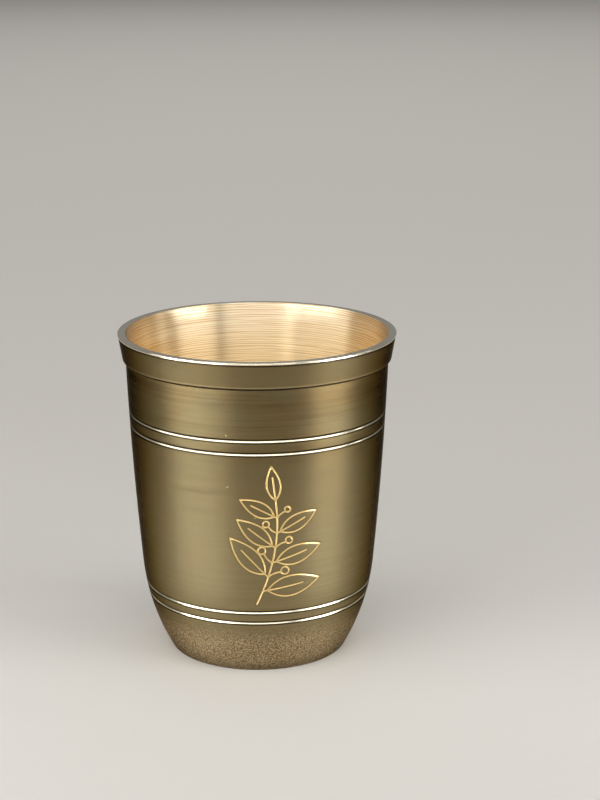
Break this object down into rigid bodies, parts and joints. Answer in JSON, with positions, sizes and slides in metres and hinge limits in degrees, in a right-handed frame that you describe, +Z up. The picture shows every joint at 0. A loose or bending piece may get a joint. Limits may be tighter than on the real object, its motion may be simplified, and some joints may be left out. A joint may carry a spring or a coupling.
{
  "type": "bronze tumbler",
  "caption": "Two-walled metal drinking tumbler with a flat lip, flared rim collar, grooved tapering wall and narrow rounded-in foot.",
  "frame": {"origin": "centre of the standing ring of the foot, on the table", "axes": "+Z up along the axis of the cup, -Y towards the engraved front, +X to the right seen from the front"},
  "size_m": [0.076, 0.076, 0.0894],
  "materials": {
    "bright_bronze": "fine-turned bright bronze, gold coloured, with a polished lip",
    "dark_bronze": "satin-turned bronze with a dark olive-brown patina",
    "solder": "dull tin solder"
  },
  "bodies": {
    "root": {"inner_cup": "bright_bronze", "rim_collar": "dark_bronze", "outer_shell": "dark_bronze", "base_plate": "dark_bronze", "rim_solder_seal": "solder", "base_solder_seal": "solder"}
  },
  "joints": []
}
